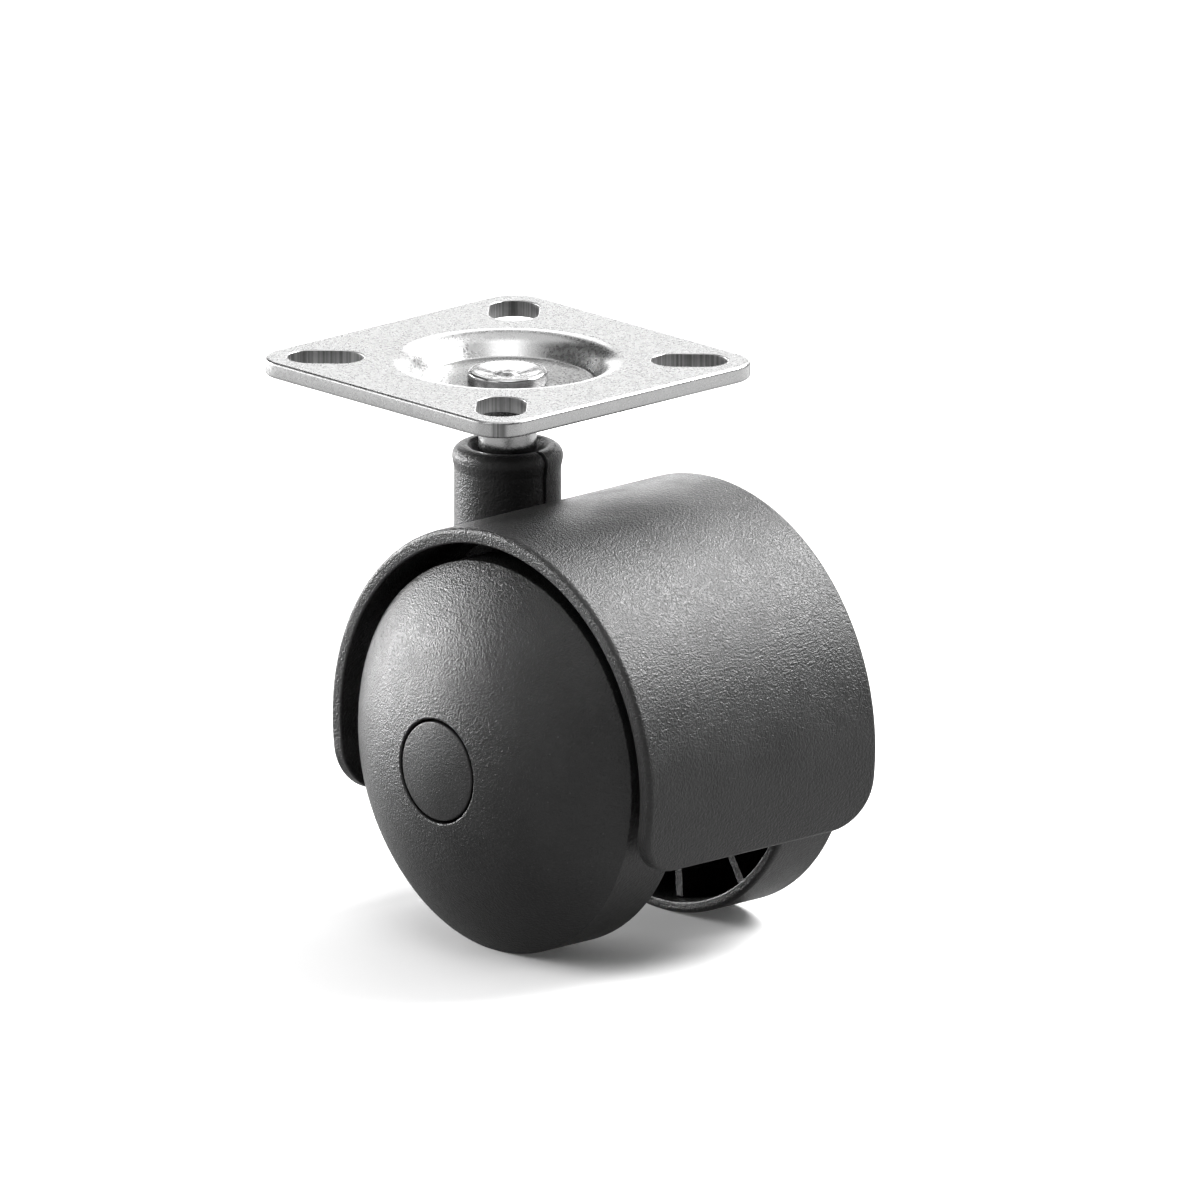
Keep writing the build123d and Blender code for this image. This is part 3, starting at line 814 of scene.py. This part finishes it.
def punched_walls():
    """Group: Mask is 1 on the walls of the slots, which lie between the plate's two faces, outside the dish
    and inside the outer edge. Streak is noise that runs up and down those walls, as a punch leaves it."""
    sizes = ["Thickness", "Dish Radius", "Half Side"]
    tree, given, out = new_group("Punched Walls", sizes, ["Mask", "Streak"])
    place = add(tree, "TexCoord").outputs["Object"]
    parts = add(tree, "SeparateXYZ", Vector=place).outputs
    half = sums(tree, "MULTIPLY", given["Thickness"], 0.5)
    depth = sums(tree, "ABSOLUTE", sums(tree, "ADD", parts["Z"], half))
    between = spread(tree, sums(tree, "SUBTRACT", half, depth), 0.02 * MM, 0.16 * MM)
    flat = add(tree, "CombineXYZ", X=parts["X"], Y=parts["Y"]).outputs[0]
    past_dish = sums(tree, "SUBTRACT", far(tree, flat), given["Dish Radius"])
    reach = sums(tree, "MAXIMUM", sums(tree, "ABSOLUTE", parts["X"]), sums(tree, "ABSOLUTE", parts["Y"]))
    to_edge = sums(tree, "SUBTRACT", given["Half Side"], reach)
    off_dish, off_edge = spread(tree, past_dish, 0.0, 0.3 * MM), spread(tree, to_edge, 0.5 * MM, 0.8 * MM)
    join(tree, sums(tree, "MULTIPLY", between, sums(tree, "MULTIPLY", off_dish, off_edge)), out["Mask"])
    streaks = add(tree, "TexNoise", Vector=flat, Scale=3200.0, Detail=2.0).outputs["Fac"]
    join(tree, streaks, out["Streak"])
    return tree


def once(name, build):
    """A node group by name, built the first time that it is asked for."""
    return bpy.data.node_groups.get(name) or build()


def shade(colour, factor=1.0):
    """A colour with alpha, made lighter or darker by a factor."""
    return (*[min(part * factor, 1.0) for part in colour], 1.0)


def new_material(name):
    """An empty material with its Principled shader joined to its output."""
    made = bpy.data.materials.new(name)
    made.use_nodes = True
    made.node_tree.nodes.clear()
    tree = made.node_tree
    shader = add(tree, "BsdfPrincipled")
    tree.links.new(shader.outputs[0], add(tree, "OutputMaterial").inputs["Surface"])
    return made, tree, shader.inputs


def black_plastic(name, finish, grain=1.0, depth=1.0, flecks=0.12):
    """Black moulded plastic: eroded grain in the bump, cloudy tone, and specks where the grain is rubbed."""
    made, tree, sockets = new_material(name)
    sockets["Specular IOR Level"].default_value = finish.plastic_shine
    group = once("Moulded Grain", moulded_grain)
    texture = add(tree, "Group", node_tree=group, Grain=finish.grain * grain, Fleck_Share=flecks).outputs
    cloudy = tint(tree, texture["Cloud"], shade(finish.plastic, 0.8), shade(finish.plastic, 1.25))
    speck = sums(tree, "MULTIPLY", texture["Fleck"], 0.5)
    join(tree, tint(tree, speck, cloudy, shade(finish.plastic, 5.0)), sockets["Base Color"])
    join(tree, uneven(tree, texture["Cloud"], finish.plastic_gloss), sockets["Roughness"])
    deep = finish.grain_depth * depth
    bump = add(tree, "Bump", Strength=0.8, Distance=deep, Height=texture["Height"])
    join(tree, bump.outputs[0], sockets["Normal"])
    return made


def plated(name, colour, gloss, crystal=0.22 * MM, depth=0.005 * MM, cut=None, plate=None):
    """Zinc-plated steel: fine crystals in tone, roughness and bump. With a colour for the slot walls and the
    plate's sizes, the walls of the punched slots are duller and streaked, and darker partly as cut steel and
    partly as painted shade in the slots."""
    made, tree, sockets = new_material(name)
    texture = add(tree, "Group", node_tree=once("Zinc Bloom", zinc_bloom), Crystal=crystal).outputs
    toned = tint(tree, texture["Tone"], shade(colour, 0.93), shade(colour, 1.0))
    cloudy = tint(tree, sums(tree, "MULTIPLY", texture["Cloud"], 0.3), toned, shade(colour, 0.85))
    rough = uneven(tree, texture["Tone"], gloss)
    if cut is not None:
        group, dish = once("Punched Walls", punched_walls), dish_radii(plate)[1]
        sizes = {"Thickness": plate.thickness, "Dish_Radius": dish, "Half_Side": plate.side / 2}
        walls = add(tree, "Group", node_tree=group, **sizes).outputs
        # Painted shade: the slot walls' streaked colour is darker than the zinc, partly to stand for the
        # shade inside the slots.
        shaded_streaks = tint(tree, spread(tree, walls["Streak"], 0.3, 0.7), shade(cut, 0.6), shade(cut, 1.25))
        cloudy = tint(tree, walls["Mask"], cloudy, shaded_streaks)
        rough = sums(tree, "MULTIPLY_ADD", walls["Mask"], 0.2, rough)
    join(tree, cloudy, sockets["Base Color"])
    sockets["Metallic"].default_value = 1.0
    join(tree, rough, sockets["Roughness"])
    bump = add(tree, "Bump", Strength=0.7, Distance=depth, Height=texture["Height"])
    join(tree, bump.outputs[0], sockets["Normal"])
    return made


def finish_node(node, material):
    """Gives a node that stays as it is a material of its own."""
    shown = frame["nodes"][node]
    if not shown.material_slots:
        shown.data.materials.append(material)
    for slot in shown.material_slots:
        slot.material = material


# The stage.


# Softboxes: name, direction in parts of right, front and above, width, height and brightness.
LAMPS = (
    ("key", (0.65, -0.33, 0.68), 0.42, 0.2, 26.0),
    ("right_low", (0.87, 0, 0.48), 0.2, 0.2, 3.0),
    ("back_low", (0, -1, 0.14), 0.6, 0.14, 3.6),
    ("back_high", (0.12, -0.8, 0.62), 0.4, 0.2, 3.5),
    ("left_rim", (-0.84, -0.54, 0.12), 0.3, 0.18, 26.0),
    ("left", (-0.95, 0, 0.3), 0.3, 0.3, 2.0),
    ("front_left", (-0.61, 0.61, 0.5), 0.3, 0.3, 1.6),
    ("overhead", (0, 0.01, 1), 0.7, 0.7, 1.05),
    ("front_top", (0, 0.47, 0.88), 0.3, 0.3, 2.0),
)
LAMP_DISTANCE = 0.6
CAMERA_DISTANCE = 0.8
FLOOR_REACH = 1.6
WHITE = (1.0, 1.0, 1.0, 1.0)


def aim(name, data, target, way, distance):
    """A lamp or camera that looks at the target from a direction and a distance."""
    made = into_scene(name, data)
    made.location = target + way * distance
    made.rotation_euler = (-way).to_track_quat("-Z", "Y").to_euler()
    return made


def softbox(name, towards, width, height, brightness, target):
    """An area light that faces the target from a direction. Its power is 4 times area times brightness."""
    lamp = bpy.data.lights.new(name, "AREA")
    lamp.shape = "RECTANGLE"
    lamp.size, lamp.size_y = width, height
    lamp.energy = 4 * width * height * brightness
    aim(name, lamp, target, towards.normalized(), LAMP_DISTANCE).visible_camera = False


def make_floor(look, level):
    """A plain pale floor at a level. It takes shadows, turns white away from the object, throws back less
    light than it shows, and is clear from below."""
    made, tree, sockets = new_material("floor")
    shader, output = tree.nodes[:]
    sockets["Roughness"].default_value = 0.9
    sockets["Specular IOR Level"].default_value = 0.1
    path = add(tree, "LightPath").outputs
    camera = path["Is Camera Ray"]
    join(tree, tint(tree, camera, shade(look.floor, look.bounce), shade(look.floor)), sockets["Base Color"])
    seen = sums(tree, "MAXIMUM", camera, path["Is Glossy Ray"])
    seen = sums(tree, "MAXIMUM", seen, path["Is Transmission Ray"])
    distance = far(tree, add(tree, "TexCoord").outputs["Object"])
    fade = spread(tree, distance, look.glow_start, look.glow_end, look.near_glow, look.far_glow)
    glow = add(tree, "Emission", Color=WHITE, Strength=sums(tree, "MULTIPLY", seen, fade))
    both = add(tree, "AddShader")
    through = add(tree, "MixShader")
    behind = add(tree, "NewGeometry").outputs["Backfacing"]
    clear = add(tree, "BsdfTransparent")
    for source, socket in (
        (shader.outputs[0], both.inputs[0]),
        (glow.outputs[0], both.inputs[1]),
        (behind, through.inputs[0]),
        (both.outputs[0], through.inputs[1]),
        (clear.outputs[0], through.inputs[2]),
        (through.outputs[0], output.inputs["Surface"]),
    ):
        tree.links.new(source, socket)
    corners = [(x, y, level) for x, y in ((-1, -1), (1, -1), (1, 1), (-1, 1))]
    mesh = bpy.data.meshes.new("floor")
    mesh.from_pydata([(FLOOR_REACH * x, FLOOR_REACH * y, z) for x, y, z in corners], [], [(0, 1, 2, 3)])
    mesh.materials.append(made)
    return into_scene("floor", mesh)


def make_sky(look):
    """The room's light: dim all round, and white where the camera looks past the object."""
    world = bpy.data.worlds.new("studio")
    world.use_nodes = True
    tree = world.node_tree
    tree.nodes.clear()
    seen = tint(tree, add(tree, "LightPath").outputs["Is Camera Ray"], shade(look.sky), WHITE)
    light = add(tree, "Background", Color=seen, Strength=1.0)
    tree.links.new(light.outputs[0], add(tree, "OutputWorld").inputs["Surface"])
    bpy.context.scene.world = world


# Operators.


class CASTER_OT_plate(bpy.types.Operator):
    """Make the top plate's pressed and plated sheet"""

    bl_idname = "caster.plate"
    bl_label = "Plate"

    def execute(self, context):
        scene = context.scene
        finish = scene.caster_finish
        plate = scene.caster_plate
        zinc = plated("bright_zinc", finish.zinc, finish.zinc_gloss, cut=finish.cut, plate=plate)
        made = make_piece("plate_sheet", plate_patches(plate), zinc)
        stand_for(made, "top_plate")
        return {"FINISHED"}


class CASTER_OT_stem(bpy.types.Operator):
    """Make the turned swivel stem with its spun head"""

    bl_idname = "caster.stem"
    bl_label = "Stem"

    def execute(self, context):
        scene = context.scene
        finish = scene.caster_finish
        steel = plated("stem_zinc", finish.zinc, finish.zinc_gloss - 0.06, crystal=0.2 * MM, depth=0.008 * MM)
        made = make_piece("stem_turning", stem_patches(scene.caster_stem, scene.caster_plate), steel)
        stand_for(made, "swivel_stem")
        return {"FINISHED"}


class CASTER_OT_housing(bpy.types.Operator):
    """Make the housing's moulding: hood, socket, web, ribs and boss"""

    bl_idname = "caster.housing"
    bl_label = "Housing"

    def execute(self, context):
        scene = context.scene
        sizes = scene.caster_housing
        patches = hood_patches(sizes)
        patches += socket_patches(sizes, scene.caster_stem, scene.caster_plate)
        patches += stiffener_patches(sizes)
        made = make_piece("housing_moulding", patches, black_plastic("housing_black", scene.caster_finish))
        stand_for(made, "housing")
        return {"FINISHED"}


class CASTER_OT_wheels(bpy.types.Operator):
    """Make both wheels with their ribs and hub caps"""

    bl_idname = "caster.wheels"
    bl_label = "Wheels"

    def execute(self, context):
        scene = context.scene
        wheel, housing = scene.caster_wheel, scene.caster_housing
        rim_black = black_plastic("wheel_black", scene.caster_finish, grain=0.95, flecks=0.04)
        cap_black = black_plastic("cap_black", scene.caster_finish, grain=0.8, depth=0.5, flecks=0.02)
        for hand, side in HANDS.items():
            made = make_piece(f"wheel_moulding_{hand}", wheel_patches(wheel, housing, side), rim_black)
            stand_for(made, f"wheel_{hand}")
            made = make_piece(f"cap_moulding_{hand}", cap_patches(wheel, housing, side), cap_black)
            stand_for(made, f"hub_cap_{hand}")
        return {"FINISHED"}


class CASTER_OT_steel_pieces(bpy.types.Operator):
    """Finish the axle, washers, retainers, grip ring and thrust disc"""

    bl_idname = "caster.steel_pieces"
    bl_label = "Steel pieces"

    def execute(self, context):
        finish = context.scene.caster_finish
        bright = plated("turned_steel", finish.zinc, finish.zinc_gloss)
        dark = plated("spring_steel", finish.steel, finish.zinc_gloss + 0.1)
        for node in ("axle", "washer_left", "washer_right", "thrust_disc"):
            finish_node(node, bright)
        for node in ("retainer_left", "retainer_right", "grip_ring"):
            finish_node(node, dark)
        return {"FINISHED"}


class CASTER_OT_stage(bpy.types.Operator):
    """Set the floor, the light and the camera"""

    bl_idname = "caster.stage"
    bl_label = "Stage"

    def execute(self, context):
        scene = context.scene
        look, housing = scene.caster_stage, scene.caster_housing
        turn, tilt = look.azimuth, look.elevation
        low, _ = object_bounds()
        make_floor(look, low.z)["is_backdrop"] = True

        right = Vector((cos(turn), sin(turn), 0))
        front = Vector((sin(turn), -cos(turn), 0))
        above = Vector((0, 0, 1))
        back = front * cos(tilt) + above * sin(tilt)
        up = back.cross(right)
        axle = Vector((housing.trail, 0, -housing.axle_drop))
        middle = axle + right * look.across + up * look.upwards
        lens = bpy.data.cameras.new("camera")
        lens.type = "ORTHO"
        lens.ortho_scale = look.frame_width
        lens.clip_start, lens.clip_end = 0.01, 10.0
        scene.camera = aim("camera", lens, middle, back, CAMERA_DISTANCE)

        make_sky(look)
        for name, (rightwards, forwards, upwards), width, height, brightness in LAMPS:
            towards = rightwards * right + forwards * front + upwards * above
            softbox(name, towards, width, height, brightness, axle)
        scene.view_settings.view_transform = "Standard"
        return {"FINISHED"}


class CASTER_PT_panel(bpy.types.Panel):
    """Lists the caster's pieces and their settings"""

    bl_idname = "CASTER_PT_panel"
    bl_label = "Plate Caster"
    bl_space_type = "VIEW_3D"
    bl_region_type = "UI"
    bl_category = "Caster"

    def draw(self, context):
        for operator in OPERATORS:
            self.layout.operator(operator.bl_idname)
        for name in SETTINGS:
            group = getattr(context.scene, name)
            box = self.layout.box()
            for field in group.__annotations__:
                box.prop(group, field)


SETTINGS = {
    "caster_plate": PlateSizes,
    "caster_stem": StemSizes,
    "caster_housing": HousingSizes,
    "caster_wheel": WheelSizes,
    "caster_finish": Finishes,
    "caster_stage": StageLook,
}
OPERATORS = (
    CASTER_OT_plate,
    CASTER_OT_stem,
    CASTER_OT_housing,
    CASTER_OT_wheels,
    CASTER_OT_steel_pieces,
    CASTER_OT_stage,
)


def register():
    for made in (*SETTINGS.values(), *OPERATORS, CASTER_PT_panel):
        bpy.utils.register_class(made)
    for name, group in SETTINGS.items():
        setattr(bpy.types.Scene, name, PointerProperty(type=group))


def unregister():
    for name in SETTINGS:
        delattr(bpy.types.Scene, name)
    for made in reversed((*SETTINGS.values(), *OPERATORS, CASTER_PT_panel)):
        bpy.utils.unregister_class(made)


def main():
    register()
    bpy.ops.caster.plate()
    bpy.ops.caster.stem()
    bpy.ops.caster.housing()
    bpy.ops.caster.wheels()
    bpy.ops.caster.steel_pieces()
    bpy.ops.caster.stage()


if __name__ == "__main__":
    main()
